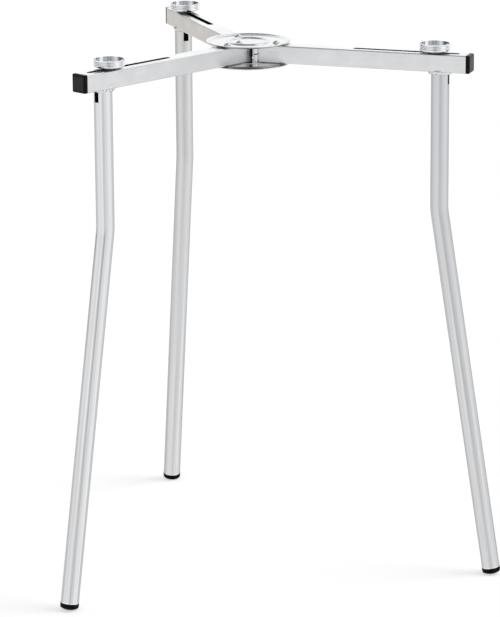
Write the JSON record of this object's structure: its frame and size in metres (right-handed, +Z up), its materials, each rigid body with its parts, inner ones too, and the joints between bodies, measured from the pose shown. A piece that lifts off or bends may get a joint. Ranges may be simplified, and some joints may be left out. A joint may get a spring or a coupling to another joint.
{
  "type": "folding burner tripod stand",
  "caption": "Folding tripod stand for a gas burner: slotted square-tube arms on a riveted round hub, sliding cups for the burner's feet, and bent round legs with domed plastic feet.",
  "frame": {"origin": "on the floor, under the middle of the hub", "axes": "+Z up; the fixed arm points to -Y, the right arm 25.5 degrees from +X towards +Y, and the rear arm is its mirror image in the YZ plane"},
  "size_m": [0.6704, 0.5365, 0.7532],
  "materials": {
    "satin_zinc": "satin zinc plate, drawn lengthways",
    "bright_zinc": "bright zinc plate",
    "fastener_steel": "bright plated steel",
    "black_plastic": "satin moulded plastic"
  },
  "bodies": {
    "hub_and_left_arm": {"top_plate": "bright_zinc", "bottom_plate": "bright_zinc", "left_outer_rivet": "fastener_steel", "left_inner_rivet": "fastener_steel", "right_pivot_rivet": "fastener_steel", "rear_pivot_rivet": "fastener_steel", "right_stop_pin": "fastener_steel", "rear_stop_pin": "fastener_steel", "left_arm": "satin_zinc", "left_leg": "satin_zinc", "left_end_cap": "black_plastic", "left_foot": "black_plastic"},
    "right_swing": {"right_arm": "satin_zinc", "right_leg": "satin_zinc", "right_end_cap": "black_plastic", "right_foot": "black_plastic"},
    "rear_swing": {"rear_arm": "satin_zinc", "rear_leg": "satin_zinc", "rear_end_cap": "black_plastic", "rear_foot": "black_plastic"},
    "left_slider": {"left_cup": "bright_zinc", "left_cup_screw": "fastener_steel", "left_cup_washer": "fastener_steel", "left_slide_nut": "fastener_steel"},
    "right_slider": {"right_cup": "bright_zinc", "right_cup_screw": "fastener_steel", "right_cup_washer": "fastener_steel", "right_slide_nut": "fastener_steel"},
    "rear_slider": {"rear_cup": "bright_zinc", "rear_cup_screw": "fastener_steel", "rear_cup_washer": "fastener_steel", "rear_slide_nut": "fastener_steel"}
  },
  "joints": [
    {"name": "right_arm_fold", "type": "hinge", "parent": "hub_and_left_arm", "child": "right_swing", "pos_m": [0.03701, 0.01765, 0.7275], "axis": [0, 0, -1], "range_deg": [0, 115.5]},
    {"name": "rear_arm_fold", "type": "hinge", "parent": "hub_and_left_arm", "child": "rear_swing", "pos_m": [-0.03701, 0.01765, 0.7275], "axis": [0, 0, 1], "range_deg": [0, 115.5]},
    {"name": "left_cup_slide", "type": "slide", "parent": "hub_and_left_arm", "child": "left_slider", "axis": [0, -1, 0], "range_m": [-0.1077, 0.0352]},
    {"name": "right_cup_slide", "type": "slide", "parent": "right_swing", "child": "right_slider", "axis": [0.9026, 0.4305, 0], "range_m": [-0.1117, 0.0312]},
    {"name": "rear_cup_slide", "type": "slide", "parent": "rear_swing", "child": "rear_slider", "axis": [-0.9026, 0.4305, 0], "range_m": [-0.1117, 0.0312]}
  ]
}
